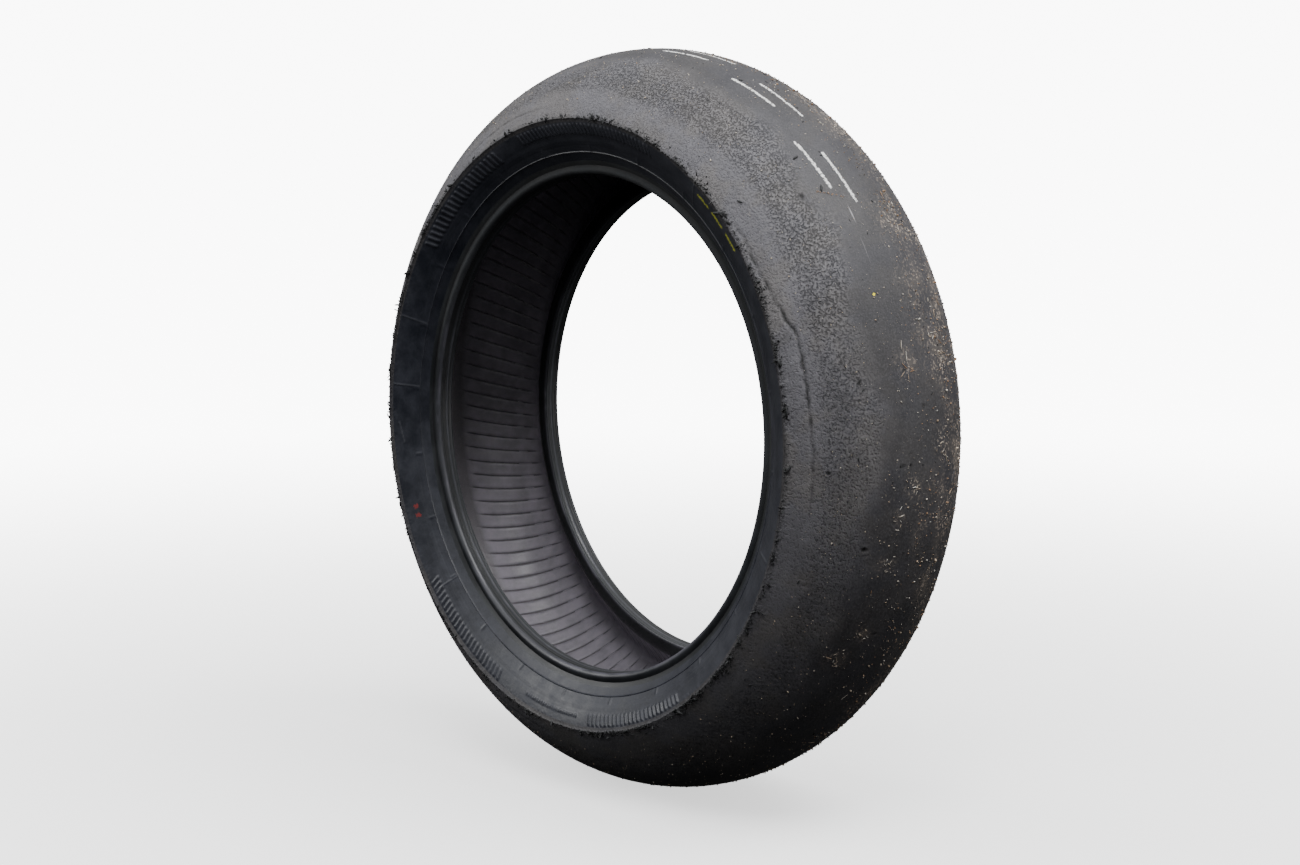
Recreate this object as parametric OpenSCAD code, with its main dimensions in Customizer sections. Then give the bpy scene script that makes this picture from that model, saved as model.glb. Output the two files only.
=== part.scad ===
// Rear racing slick tyre for a 17 inch motorcycle rim, built up from its rubber, cord and steel pieces.
// The origin is the wheel's centre, and the tyre spins about Y. The outside is the +Y and -Y sidewalls
// and the tread. Every piece is a full ring, so each one is drawn as its cross-section: a point is
// [radius, distance along Y], the section of the +Y half is worked out, and the other half mirrors it.

/* [Outside shape] */
// Outer radius of the tyre at the middle of its tread
outer_r = 326; // [322:0.5:330]
// Radius of the arc across the middle of the tread
crown_arc_r = 100.5; // [99:0.5:102]
// Radius of the flatter arc across each shoulder
shoulder_arc_r = 160; // [155:1:165]
// Radius of the circle where the wall stands clear of the rim flange, marked by a fine rib
rim_line_r = 235; // [234:0.5:236]
// Distance of that circle from the middle of the tyre
rim_line_y = 80.6; // [80:0.1:81.5]
// How far the sidewall bulges out of straight between the rim line and the tread
wall_bulge = 1.2; // [0.5:0.1:2]

/* [Tread and belt] */
// Thickness of the tread rubber that meets the road
cap_t = 4.2; // [3:0.1:5]
// Thickness of the cushion rubber under the tread
base_t = 1.4; // [1:0.1:2]
// Thickness of the belt of steel cord wound round the tyre
belt_t = 1.4; // [1.2:0.1:1.8]
// Angle across the crown where the middle compound gives way to the shoulder compound
split_angle = 30; // [24:3:36]
// Angle across the crown where the belt ends
belt_angle = 51; // [45:3:51]

/* [Carcass] */
// Thickness of each carcass ply
ply_t = 1.1; // [0.9:0.1:1.2]
// Thickness of the airtight inner liner
liner_t = 1.2; // [1:0.1:1.5]
// Radius of the carcass as it turns round the shoulder
carcass_turn_r = 14; // [13:0.5:15]
// Lean of the carcass between the shoulder and the bead, out of the wheel's plane
carcass_lean = 42; // [41:0.5:43]

/* [Bead] */
// Radius of the bead seat: half of 17 inches
seat_r = 215.9; // [215.4:0.1:216.4]
// Distance of the bead core from the middle of the tyre
core_y = 65.2; // [64.7:0.1:65.7]
// Radius of the bundle of bead wires in its rubber
core_r = 4.6; // [4.5:0.05:4.8]
// Diameter of one bead wire
wire_d = 1.2; // [1:0.05:1.3]
// Distance between neighbouring wires
wire_pitch = 1.7; // [1.6:0.05:1.75]
// Lean of the turned-up plies on the outside of the bead filler
turnup_lean = 20; // [18:0.5:22]
// Thickness of the rim strip under the bead core
strip_t = 1.5; // [1.3:0.1:1.8]
// Rounding of the bead's outer edge
heel_round = 4; // [3:0.5:5]
// Rounding of the bead's inner edge
toe_round = 2; // [1.5:0.5:2.5]

/* [Hidden] */
left = 1;               // the +Y side
right = -1;             // the -Y side
ring_segments = 180;
wire_sides = 8;         // a wire this fine is drawn as an octagon
angle_step = 3;         // between the points along the crown
crown_angle = 45;       // where the crown arc meets the shoulder arc
base_angle = 54;        // where the tread base ends
edge_angle = 60;        // where the tread ends at its sharp edge
turn_steps = 10;        // along the carcass's turn round the shoulder
cushion_steps = 5;      // of those, the ones that the belt cushion covers
skirt_step = 6;         // and the one where the tread gives way to the sidewall
wrap_steps = 16;        // along the plies' wrap round the bead core
cap_steps = 8;          // along the top of the bead core, under the filler
round_steps = 6;        // along the rounding of the heel and the toe
wall_steps = 8;         // along the bulged sidewall
cushion_bulge = 1;      // extra thickness in the middle of the belt cushion
carcass_in = cap_t + base_t + belt_t;
plies_t = 2 * ply_t;
lined_t = plies_t + liner_t;
outer_turnup = 1;       // height of each ply's turned-up end, as a share of the bead filler's
inner_turnup = 0.7;
strip_top = 0.35;       // and of the rim strip's outer edge
strip_lap = 3;          // how far the rim strip runs up the inside of the bead
heel_y = core_y + core_r + lined_t + 0.8;
toe_y = core_y - core_r - lined_t;

function dir(angle) = [cos(angle), sin(angle)];
function cross2(a, b) = a.x * b.y - a.y * b.x;
function reversed(pts) = [for (i = [len(pts) - 1:-1:0]) pts[i]];
function mirrored(pts) = [for (p = pts) [p.x, -p.y]];
function rest(pts) = [for (i = [1:len(pts) - 1]) pts[i]];
function arc(centre, r, from, to, steps) =
    [for (i = [0:steps]) centre + r * dir(from + (to - from) * i / steps)];

// The crown: the outer surface moved in by inset, at an angle from the middle of the tread
crown_c = [outer_r - crown_arc_r, 0];
shoulder_c = crown_c - (shoulder_arc_r - crown_arc_r) * dir(crown_angle);
function crown_pt(angle, inset) = angle <= crown_angle
    ? crown_c + (crown_arc_r - inset) * dir(angle)
    : shoulder_c + (shoulder_arc_r - inset) * dir(angle);
function crown_line(from, to, inset) = [for (a = [from:angle_step:to]) crown_pt(a, inset)];

// The carcass line: under the belt, round the shoulder, straight to the bead, round its core and up again.
// depth is how far a layer lies on the air side of the carcass's outer face.
core_c = [seat_r + strip_t + plies_t + core_r, core_y];
down_normal = [sin(carcass_lean), -cos(carcass_lean)];
turn_reach = shoulder_arc_r - carcass_in - carcass_turn_r;
turn_from = carcass_lean
    + asin(((core_c - shoulder_c) * -down_normal - carcass_turn_r - core_r) / turn_reach);
turn_to = 90 + carcass_lean;
turn_c = shoulder_c + turn_reach * dir(turn_from);
wrap_from = carcass_lean - 90;
wrap_to = turnup_lean - 270;
function turn_pt(step, depth) =
    turn_c + (carcass_turn_r - depth) * dir(turn_from + (turn_to - turn_from) * step / turn_steps);
function turn_line(from, to, depth) = [for (i = [from:to]) turn_pt(i, depth)];
function wrap_line(depth) = arc(core_c, core_r + depth, wrap_from, wrap_to, wrap_steps);
function inside_pt(depth, up) = core_c + (core_r + depth) * dir(wrap_from) + up * dir(carcass_lean);
function outside_pt(depth, up) = core_c + (core_r + depth) * dir(wrap_to) + up * dir(turnup_lean);
filler_h = cross2(inside_pt(0, 0) - outside_pt(0, 0), dir(carcass_lean))
    / cross2(dir(turnup_lean), dir(carcass_lean));
function half_ply(depth, turnup) = concat(
    crown_line(0, base_angle, carcass_in + depth),
    turn_line(0, turn_steps, depth),
    wrap_line(depth),
    [outside_pt(depth, turnup * filler_h)]);
function half_liner_crown(depth) = concat(
    crown_line(0, base_angle, carcass_in + depth),
    [turn_pt(0, depth)]);

// The outer wall: from the rim strip up past the rim line to the tread's edge
tread_edge = crown_pt(edge_angle, 0);
rim_line = [rim_line_r, rim_line_y];
wall_out = [rim_line.y - tread_edge.y, tread_edge.x - rim_line.x] / norm(tread_edge - rim_line);
function wall_pt(s) = rim_line + s * (tread_edge - rim_line) + 4 * s * (1 - s) * wall_bulge * wall_out;
skirt = 7 / wall_steps;
rib = [rim_line + [-0.9, -0.3], rim_line + [-0.3, 0.7], rim_line + [0.4, 0.6]];
flange_low = [seat_r + 8, heel_y - 0.9];
flange_high = [seat_r + 12, heel_y + 1.2];

// The belt cushion's outer face, tapering from the belt's edge to nothing
function cushion_line() = [for (i = [0:cushion_steps]) turn_pt(i,
    -belt_t * (1 - i / cushion_steps) - cushion_bulge * (1 - cos(360 * i / cushion_steps)) / 2)];

// A ring swept from its section, on one side of the tyre or across both
module ring(points) rotate([-90, 0, 0]) rotate_extrude($fn = ring_segments) polygon(points);
module side_ring(points, side) ring(side == left ? points : mirrored(points));
module full_ring(outer, inner) ring(concat(
    outer, reversed(inner), mirrored(rest(inner)), mirrored(reversed(rest(outer)))));

// Tread
module tread_centre() color("#2b2b2d")
    full_ring(crown_line(0, split_angle, 0), crown_line(0, split_angle, cap_t));

module tread_shoulder(side) color("#3a3a3c") side_ring(concat(
    crown_line(split_angle, edge_angle, 0),
    [wall_pt(skirt)],
    reversed(turn_line(cushion_steps + 1, skirt_step, 0)),
    reversed(cushion_line()),
    [crown_pt(base_angle, cap_t + base_t)],
    reversed(crown_line(split_angle, base_angle, cap_t))), side);

module tread_base() color("#1f1f20")
    full_ring(crown_line(0, base_angle, cap_t), crown_line(0, base_angle, cap_t + base_t));

// Belt and carcass
module belt() color("#8d8f94")
    full_ring(crown_line(0, belt_angle, cap_t + base_t), crown_line(0, belt_angle, carcass_in));

module belt_cushion(side) color("#262628") side_ring(concat(
    crown_line(belt_angle, base_angle, cap_t + base_t),
    cushion_line(),
    reversed(turn_line(0, cushion_steps - 1, 0)),
    reversed(crown_line(belt_angle, base_angle, carcass_in))), side);

module carcass_ply(depth, turnup) color("#6b5f4c")
    full_ring(half_ply(depth, turnup), half_ply(depth + ply_t, turnup));

// The liner is one sheet, drawn as a crown, two shoulders and two flanks that each bend only one way
module liner_crown() color("#333336") full_ring(half_liner_crown(plies_t), half_liner_crown(lined_t));

module liner_shoulder(side) color("#333336") side_ring(concat(
    turn_line(0, turn_steps, plies_t),
    reversed(turn_line(0, turn_steps, lined_t))), side);

module liner_flank(side) color("#333336") side_ring([
    turn_pt(turn_steps, plies_t), inside_pt(plies_t, strip_lap),
    inside_pt(lined_t, strip_lap), turn_pt(turn_steps, lined_t)], side);

// Sidewall and bead
module sidewall(side) color("#23262b") side_ring(concat(
    [outside_pt(plies_t, strip_top * filler_h), flange_high],
    rib,
    [for (i = [1:wall_steps * skirt]) wall_pt(i / wall_steps)],
    turn_line(skirt_step, turn_steps, 0),
    [outside_pt(0, outer_turnup * filler_h), outside_pt(ply_t, outer_turnup * filler_h),
    outside_pt(ply_t, inner_turnup * filler_h), outside_pt(plies_t, inner_turnup * filler_h)]), side);

module rim_strip(side) color("#1b1c1f") side_ring(concat(
    [outside_pt(plies_t, strip_top * filler_h)],
    reversed(wrap_line(plies_t)),
    [inside_pt(plies_t, strip_lap), inside_pt(lined_t, strip_lap)],
    arc(core_c, core_r + lined_t, wrap_from, -90, round_steps),
    arc([seat_r + toe_round, toe_y + toe_round], toe_round, -90, -180, round_steps),
    arc([seat_r + heel_round, heel_y - heel_round], heel_round, 180, 90, round_steps),
    [flange_low, flange_high]), side);

module bead_filler(side) color("#2d2a28") side_ring(concat(
    arc(core_c, core_r, wrap_from, wrap_to + 360, cap_steps),
    [outside_pt(0, filler_h)]), side);

// Wires lie in a hexagon: one in the middle, six round it and twelve round those
wire_places = [for (i = [-2:2], j = [-2:2]) if (abs(i + j) <= 2)
    core_c + wire_pitch * [i + j / 2, j * sin(60)]];
module wire_sections(side) for (p = wire_places) translate([p.x, side * p.y])
    circle(d = wire_d, $fn = wire_sides);

module bead_rubber(side) color("#3b3936") rotate([-90, 0, 0]) rotate_extrude($fn = ring_segments)
    difference() {
        polygon([for (p = concat(wrap_line(0), rest(arc(core_c, core_r, wrap_to + 360, wrap_from, cap_steps))))
            [p.x, side * p.y]]);
        wire_sections(side);
    }

module bead_wires(side) color("#c9a26b")
    rotate([-90, 0, 0]) rotate_extrude($fn = ring_segments) wire_sections(side);

tread_centre();
tread_shoulder(left);  // tread_shoulder_left
tread_shoulder(right);  // tread_shoulder_right
tread_base();
belt();
belt_cushion(left);  // belt_cushion_left
belt_cushion(right);  // belt_cushion_right
carcass_ply(0, outer_turnup);  // carcass_ply_outer
carcass_ply(ply_t, inner_turnup);  // carcass_ply_inner
liner_crown();
liner_shoulder(left);  // liner_shoulder_left
liner_shoulder(right);  // liner_shoulder_right
liner_flank(left);  // liner_flank_left
liner_flank(right);  // liner_flank_right
sidewall(left);  // sidewall_left
sidewall(right);  // sidewall_right
rim_strip(left);  // rim_strip_left
rim_strip(right);  // rim_strip_right
bead_filler(left);  // bead_filler_left
bead_filler(right);  // bead_filler_right
bead_rubber(left);  // bead_rubber_left
bead_rubber(right);  // bead_rubber_right
bead_wires(left);  // bead_wires_left
bead_wires(right);  // bead_wires_right
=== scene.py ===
"""A used racing slick: worn dusty tread, moulded walls and ribbed liner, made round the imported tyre.

Lengths are millimetres and angles are degrees until a mesh is made. Every piece is a ring about the
Y axis: turn is the angle from +X towards +Z, and a section point is [radius, distance along Y].
On the tread, crown is the signed angle across the tyre, from its middle towards +Y.
"""
import math

import bmesh
import bpy
import numpy as np
from mathutils import Matrix, Vector


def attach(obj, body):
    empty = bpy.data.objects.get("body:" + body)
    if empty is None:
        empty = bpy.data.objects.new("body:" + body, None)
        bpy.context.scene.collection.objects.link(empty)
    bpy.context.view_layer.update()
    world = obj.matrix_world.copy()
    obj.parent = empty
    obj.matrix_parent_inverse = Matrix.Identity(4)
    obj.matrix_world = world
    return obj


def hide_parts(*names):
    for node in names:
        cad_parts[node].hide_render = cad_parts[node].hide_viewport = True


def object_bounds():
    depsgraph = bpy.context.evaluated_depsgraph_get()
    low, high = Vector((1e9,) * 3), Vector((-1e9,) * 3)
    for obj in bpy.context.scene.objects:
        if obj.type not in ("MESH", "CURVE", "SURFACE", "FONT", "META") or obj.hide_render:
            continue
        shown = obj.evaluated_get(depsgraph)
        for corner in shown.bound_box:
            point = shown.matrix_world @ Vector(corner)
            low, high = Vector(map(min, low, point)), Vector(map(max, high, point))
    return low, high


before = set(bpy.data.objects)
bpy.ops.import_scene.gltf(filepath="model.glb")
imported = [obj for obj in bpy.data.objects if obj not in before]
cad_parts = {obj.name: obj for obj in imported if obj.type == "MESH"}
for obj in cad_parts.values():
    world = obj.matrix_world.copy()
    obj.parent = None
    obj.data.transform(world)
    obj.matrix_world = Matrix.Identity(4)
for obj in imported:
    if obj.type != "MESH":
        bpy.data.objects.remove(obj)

cad_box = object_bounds()
MM = 0.001
LEFT, RIGHT = 1, -1                 # the +Y side, and the -Y side that the camera sees

# The tread's section, as the CAD model draws it
OUTER_R = cad_box[1].z / MM
CROWN_ARC_R = 100.5                 # radius of the arc over the crown
SHOULDER_ARC_R = 160                # and of the arc over each shoulder
SHOULDER_FROM = 45                  # crown angle where the flatter shoulder arc starts
EDGE_AT = 60                        # crown angle of the tread's edge

# Mesh density
TREAD_COLUMNS = 1600
WALL_COLUMNS = 1800
BEAD_COLUMNS = 900
SHARP_CORNER = 22                   # a section that turns more than this has a crease there
CURVE_STEP = 1 / 16                 # of the gap between two CAD corners


# ---------------------------------------------------------------- small maths

def smooth(low, high, value):
    """0 below low, 1 above high and an S-curve between; the other way round if low > high."""
    t = np.clip((value - low) / (high - low), 0, 1)
    return t * t * (3 - 2 * t)


class Noise:
    """Gradient noise in space, about -0.7 to 0.7, one cell per unit."""

    def __init__(self, seed):
        rng = np.random.default_rng(seed)
        self.order = np.tile(rng.permutation(256), 3)
        slopes = rng.normal(size=(256, 3))
        self.slopes = slopes / np.linalg.norm(slopes, axis=1, keepdims=True)

    def __call__(self, x, y, z):
        p = np.stack(np.broadcast_arrays(x, y, z), -1).astype(float)
        cell = np.floor(p).astype(int)
        part = p - cell
        ease = part ** 3 * (part * (part * 6 - 15) + 10)
        cell &= 255
        total = 0.0
        for corner in np.ndindex(2, 2, 2):
            at = cell + corner
            pick = self.order[self.order[self.order[at[..., 0]] + at[..., 1]] + at[..., 2]]
            weight = np.prod(np.where(corner, ease, 1 - ease), axis=-1)
            total = total + weight * np.einsum("...k,...k->...", self.slopes[pick], part - corner)
        return total


def ring_noise(seed, turn, across, around_size, across_size, octaves=1):
    """Noise on a ring's skin with the given feature sizes, without a seam; octaves add finer detail."""
    noise, total, share = Noise(seed), 0.0, 1.0
    a = np.radians(turn)
    for octave in range(octaves):
        k = 2 ** octave
        total = total + share * noise(OUTER_R * np.cos(a) * k / around_size,
                                      OUTER_R * np.sin(a) * k / around_size,
                                      across * k / across_size + 31 * octave)
        share *= 0.5
    return total * 1.5


def near_line(points, u, v):
    """Distance from each (u, v) to the polyline through the points."""
    best = np.full(np.broadcast(u, v).shape, 1e9)
    for (u0, v0), (u1, v1) in zip(points[:-1], points[1:]):
        du, dv = u1 - u0, v1 - v0
        along = np.clip(((u - u0) * du + (v - v0) * dv) / (du * du + dv * dv), 0, 1)
        best = np.minimum(best, np.hypot(u - u0 - along * du, v - v0 - along * dv))
    return best


def curve_through(points, step=0.25):
    """A smooth curve through the points (Catmull-Rom), with 1/step pieces between neighbours."""
    p = np.array([points[0], *points, points[-1]], float)
    t = np.arange(0, 1, step)[:, None]
    parts = []
    for a, b, c, d in zip(p[:-3], p[1:-2], p[2:-1], p[3:]):
        parts.append(b + 0.5 * t * (c - a + t * (2 * a - 5 * b + 4 * c - d
                                                 + t * (3 * (b - c) + d - a))))
    return np.concatenate([*parts, p[-1:]])


def angle_apart(turn, centre):
    """Signed angle from centre to turn, -180 to 180."""
    return (turn - centre + 180) % 360 - 180


# ---------------------------------------------------------------- sections of the CAD rings

LINER_NODES = ("liner_crown", "liner_shoulder_left", "liner_shoulder_right", "liner_flank_left",
               "liner_flank_right")
SAME_POINT = 0.03                   # corners closer than this are one
ON_SEAM = 0.002                     # a vertex this close to the half-plane lies on it


def cad_section(*nodes):
    """The outline of one CAD ring, or of several that meet, read from their meshes on the +X half-plane.
    It runs so that the rubber is on the left of it and the air on the right."""
    corners, pairs = [], []

    def corner(point):
        for i, known in enumerate(corners):
            if math.dist(point, known) < SAME_POINT:
                return i
        corners.append(point)
        return len(corners) - 1

    for node in nodes:
        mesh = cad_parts[node].data
        at = np.array([v.co for v in mesh.vertices]) / MM
        seam = (np.abs(at[:, 2]) < ON_SEAM) & (at[:, 0] > 0)
        ends = {frozenset(corner(tuple(at[i][:2])) for i in edge.vertices)
                for edge in mesh.edges if all(seam[i] for i in edge.vertices)}
        pairs += [pair for pair in ends if len(pair) == 2]
    links = {}
    for pair in pairs:
        if pairs.count(pair) == 1:          # an edge that two rings share lies inside the rubber
            for i in pair:
                links.setdefault(i, []).extend(pair - {i})
    start = max(links, key=lambda i: corners[i])
    line, here, before = [start], min(links[start]), start
    while here != start:
        line.append(here)
        here, before = next(i for i in links[here] if i != before), here
    line = np.array([corners[i] for i in line])
    r, y = line.T
    area = np.sum(r * np.roll(y, -1) - y * np.roll(r, -1))
    return line if area > 0 else line[::-1]


section = {node: cad_section(node) for node in (
    "tread_centre", "tread_shoulder_left", "sidewall_left", "rim_strip_left")}
section["liner"] = cad_section(*LINER_NODES)


def shared_corners(a, b):
    """Corners that two sections have in common."""
    gaps = np.linalg.norm(section[a][:, None] - section[b][None], axis=-1)
    return section[a][gaps.min(axis=1) < SAME_POINT]


def farthest(corners, way):
    """The corner that lies farthest along way."""
    return corners[np.argmax(corners @ way)]


OUTWARD, SIDEWAYS, INWARD_Y = np.array([1, 0]), np.array([0, 1]), np.array([0, -1])
split = farthest(shared_corners("tread_centre", "tread_shoulder_left"), OUTWARD)
skirt = farthest(shared_corners("tread_shoulder_left", "sidewall_left"), SIDEWAYS)
flange = farthest(shared_corners("sidewall_left", "rim_strip_left"), SIDEWAYS)
strip_ends = shared_corners("rim_strip_left", "liner")
bead_end = farthest(strip_ends[strip_ends[:, 1] > 0], INWARD_Y)
tread_edge = farthest(section["tread_shoulder_left"], SIDEWAYS)
crown_centre_r = OUTER_R - CROWN_ARC_R
arcs_meet = math.radians(SHOULDER_FROM)
shoulder_centre = (np.array([crown_centre_r, 0])
                   - (SHOULDER_ARC_R - CROWN_ARC_R) * np.array([math.cos(arcs_meet), math.sin(arcs_meet)]))


def mirrored(points):
    """A left-hand line on the right-hand side, still with the rubber on its left."""
    return points[::-1] * [1, -1]


def crown_of(points):
    """Crown angle of section points on the tread's outer face."""
    r, y = points[..., 0], np.abs(points[..., 1])
    middle = np.degrees(np.arctan2(y, r - crown_centre_r))
    shoulder = np.degrees(np.arctan2(y - shoulder_centre[1], r - shoulder_centre[0]))
    return np.where(middle <= SHOULDER_FROM, middle, shoulder) * np.where(points[..., 1] < 0, -1, 1)


def crown_point(crown, inset=0.0):
    """The section point at a crown angle, moved in by inset."""
    a = math.radians(abs(crown))
    flat = abs(crown) > SHOULDER_FROM
    centre = shoulder_centre if flat else (crown_centre_r, 0)
    reach = (SHOULDER_ARC_R if flat else CROWN_ARC_R) - inset
    return np.array([centre[0] + reach * math.cos(a),
                     math.copysign(centre[1] + reach * math.sin(a), crown)])


def across_of(crown):
    """Distance over the tread's skin from its middle."""
    a = np.abs(crown)
    arc = CROWN_ARC_R * np.minimum(a, SHOULDER_FROM) + SHOULDER_ARC_R * np.maximum(a - SHOULDER_FROM, 0)
    return np.radians(arc) * np.sign(crown)


def split_outline(node, first, last):
    """A node's outline as the line that shows, from corner first to last, and the hidden rest."""
    line = section[node]
    i, j = (int(np.argmin(np.linalg.norm(line - corner, axis=1))) for corner in (first, last))
    line = np.roll(line, -i, axis=0)
    shown = (j - i) % len(line) + 1
    return line[:shown], line[shown:]


def fine_line(corners, spacing):
    """The corners joined by smooth curves of evenly spaced points, with a crease at each sharp corner.
    Returns the points and which of them are creases."""
    step = np.diff(corners, axis=0)
    heading = np.degrees(np.arctan2(step[:, 1], step[:, 0]))
    turns = np.abs(angle_apart(heading[1:], heading[:-1]))
    breaks = [0, *(np.nonzero(turns > SHARP_CORNER)[0] + 1), len(corners) - 1]
    points, creases = [], []
    for a, b in zip(breaks[:-1], breaks[1:]):
        run = curve_through(corners[a:b + 1], CURVE_STEP) if b - a > 1 else corners[a:b + 1]
        length = np.concatenate([[0], np.cumsum(np.linalg.norm(np.diff(run, axis=0), axis=1))])
        count = max(2, round(length[-1] / spacing) + 1)
        at = np.linspace(0, length[-1], count)[:-1]
        points.append(np.stack([np.interp(at, length, run[:, k]) for k in (0, 1)], -1))
        creases += [True] + [False] * (count - 2)
    return np.concatenate([*points, corners[-1:]]), np.array(creases + [True])


# ---------------------------------------------------------------- rings

def make_mesh(name, at, faces, fields, creased=None):
    """A mesh from vertex places in mm and four- or three-cornered faces, with a number per vertex for
    each of the named fields."""
    mesh = bpy.data.meshes.new(name)
    sides = faces.shape[1]
    mesh.vertices.add(len(at))
    mesh.vertices.foreach_set("co", (at * MM).astype(np.float32).ravel())
    mesh.loops.add(faces.size)
    mesh.loops.foreach_set("vertex_index", faces.astype(np.int32).ravel())
    mesh.polygons.add(len(faces))
    mesh.polygons.foreach_set("loop_start", np.arange(0, faces.size, sides, dtype=np.int32))
    mesh.update(calc_edges=True)
    mesh.validate()
    mesh.polygons.foreach_set("use_smooth", np.ones(len(mesh.polygons), bool))
    for field, values in fields.items():
        layer = mesh.attributes.new(field, "FLOAT", "POINT")
        layer.data.foreach_set("value", np.ravel(values).astype(np.float32))
    if creased is not None:
        ends = np.empty(len(mesh.edges) * 2, np.int32)
        mesh.edges.foreach_get("vertices", ends)
        rows = creased[ends.reshape(-1, 2)]
        sharp = (rows[:, 0] == rows[:, 1]) & (rows[:, 0] >= 0)
        mesh.attributes.new("sharp_edge", "BOOLEAN", "EDGE").data.foreach_set("value", sharp)
    mesh.update()
    return mesh


def place(name, mesh, material, slot, *replaced):
    """Makes a piece of the mesh, and says what it rides on, replaces and takes its finish from."""
    piece = bpy.data.objects.new(name, mesh)
    mesh.materials.append(material)
    bpy.context.scene.collection.objects.link(piece)
    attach(piece, "root")
    if replaced:
        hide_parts(*replaced)


def round_axis(points, angles):
    """Section points turned about the tyre's axis by angles in radians."""
    r, y = points[..., 0], points[..., 1]
    return np.stack([r * np.cos(angles), y, r * np.sin(angles)], -1)


def ring_piece(name, node, slot, shown, hidden, spacing, turn, relief, material, side=LEFT, skip=3):
    """A closed ring. Its shown line is drawn finely and raised or sunk by relief, which takes the turn
    angles and the section points and returns (height, slide, fields); slide moves points along the
    line. The hidden line keeps every skip-th CAD corner. turn is a row of angles, or makes one for
    each point of the line. node is what the ring replaces: a name, or several."""
    line, crease = fine_line(shown, spacing)
    hidden = hidden[skip // 2::skip]
    if side == RIGHT:
        line, crease, hidden = mirrored(line), crease[::-1], mirrored(hidden)
    tangent = np.gradient(line, axis=0)
    tangent /= np.linalg.norm(tangent, axis=1, keepdims=True)
    normal = tangent[:, ::-1] * [1, -1]
    turn = turn(line) if callable(turn) else turn
    turn = np.broadcast_to(turn, (len(line), turn.shape[-1]))
    height, slide, fields = relief(turn, line)
    spread = line[:, None] + normal[:, None] * height[..., None] + tangent[:, None] * slide[..., None]
    back_turn = np.linspace(turn[-1], turn[0], len(hidden) + 2)[1:-1]
    back = np.broadcast_to(hidden[:, None], (len(hidden), turn.shape[1], 2))
    section_at = np.concatenate([spread, back])
    a = np.radians(np.concatenate([turn, back_turn]))
    at = round_axis(section_at, a)
    rows, columns = a.shape
    index = np.arange(rows * columns).reshape(rows, columns)
    below, beside = np.roll(index, -1, 0), np.roll(index, -1, 1)
    faces = np.stack([index, below, np.roll(below, -1, 1), beside], -1).reshape(-1, 4)
    pad = np.zeros((len(hidden), columns))
    fields = {key: np.concatenate([np.broadcast_to(value, turn.shape), pad])
              for key, value in fields.items()}
    row_of = np.where(np.concatenate([crease, np.zeros(len(hidden), bool)]), np.arange(rows), -1)
    mesh = make_mesh(name, at.reshape(-1, 3), faces, fields, np.repeat(row_of, columns))
    place(name, mesh, material, slot, *((node,) if isinstance(node, str) else node))


def even_turns(columns):
    return np.arange(columns)[None] * 360 / columns


def end_fade(count, reach):
    """0 at a line's two ends and 1 from reach points in, as a column."""
    row = np.arange(count)
    return smooth(0, reach, np.minimum(row, row[::-1]))[:, None]


def both_sides(make):
    for side, name in ((LEFT, "left"), (RIGHT, "right")):
        make(side, name)


# ---------------------------------------------------------------- node trees

class Nodes:
    """Adds nodes to one tree. An input is a plain value or another node's output."""

    def __init__(self, tree):
        self.tree = tree

    def add(self, kind, inputs=None, **settings):
        node = self.tree.nodes.new("ShaderNode" + kind)
        for key, value in settings.items():
            setattr(node, key, value)
        for key, value in (inputs or {}).items():
            if isinstance(value, bpy.types.NodeSocket):
                self.tree.links.new(value, node.inputs[key])
            else:
                node.inputs[key].default_value = value
        return node

    def math(self, operation, a, b=0.0, clamp=False):
        return self.add("Math", {0: a, 1: b}, operation=operation, use_clamp=clamp).outputs[0]

    def times(self, a, b):
        return self.math("MULTIPLY", a, b)

    def mix(self, factor, a, b, blend="MIX"):
        return self.add("Mix", {0: factor, 6: a, 7: b}, data_type="RGBA", blend_type=blend).outputs[2]

    def cover(self, under, over, where, share):
        """The colour over laid on the colour under, where a mask says, to a share of its strength."""
        return self.mix(self.times(where, share), under, over)

    def span(self, value, low, high, to_low=0.0, to_high=1.0):
        """value taken from low..high to to_low..to_high with soft ends."""
        return self.add("MapRange", {"Value": value, "From Min": low, "From Max": high, "To Min": to_low,
                                     "To Max": to_high}, interpolation_type="SMOOTHSTEP").outputs[0]

    def noise(self, scale, detail=2.0, rough=0.5, at=None):
        return self.add("TexNoise", {"Vector": at or self.place(), "Scale": scale, "Detail": detail,
                                     "Roughness": rough}).outputs["Fac"]

    def place(self):
        return self.add("TexCoord").outputs["Object"]

    def stretched(self, x, y, z):
        """The place with each axis scaled."""
        return self.add("Mapping", {"Vector": self.place(), "Scale": (x, y, z)}).outputs[0]

    def field(self, name):
        """A number that the mesh holds for each vertex."""
        return self.add("Attribute", attribute_name=name).outputs["Fac"]

    def mark(self, field, scale, ragged, outer, inner):
        """A mask that rises as the field, a distance in mm, falls from outer to inner, with an edge
        made ragged by noise."""
        wander = self.span(self.noise(scale, 3), 0.3, 0.7, -ragged, ragged)
        return self.span(self.math("ADD", self.field(field), wander), outer, inner)

    def bump(self, height, strength, distance, normal=None):
        """A surface roughened by height, whose 0 to 1 is distance in mm, over any normal given."""
        inputs = {"Height": height, "Strength": strength, "Distance": distance * MM}
        if normal:
            inputs["Normal"] = normal       # the coarser bumps under this one
        return self.add("Bump", inputs).outputs[0]


def material(name, build):
    """A material whose look is set by build(nodes), which returns the shader's inputs."""
    made = bpy.data.materials.new(name)
    made.use_nodes = True
    tree = made.node_tree
    tree.nodes.clear()
    nodes = Nodes(tree)
    shader = nodes.add("BsdfPrincipled", build(nodes))
    nodes.add("OutputMaterial", {"Surface": shader.outputs[0]})
    return made


def grey(level, warm=0.0):
    """An almost neutral colour; warm leans it to brown, and a negative warm to blue."""
    return (level * (1 + warm), level, level * (1 - warm), 1)


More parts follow.
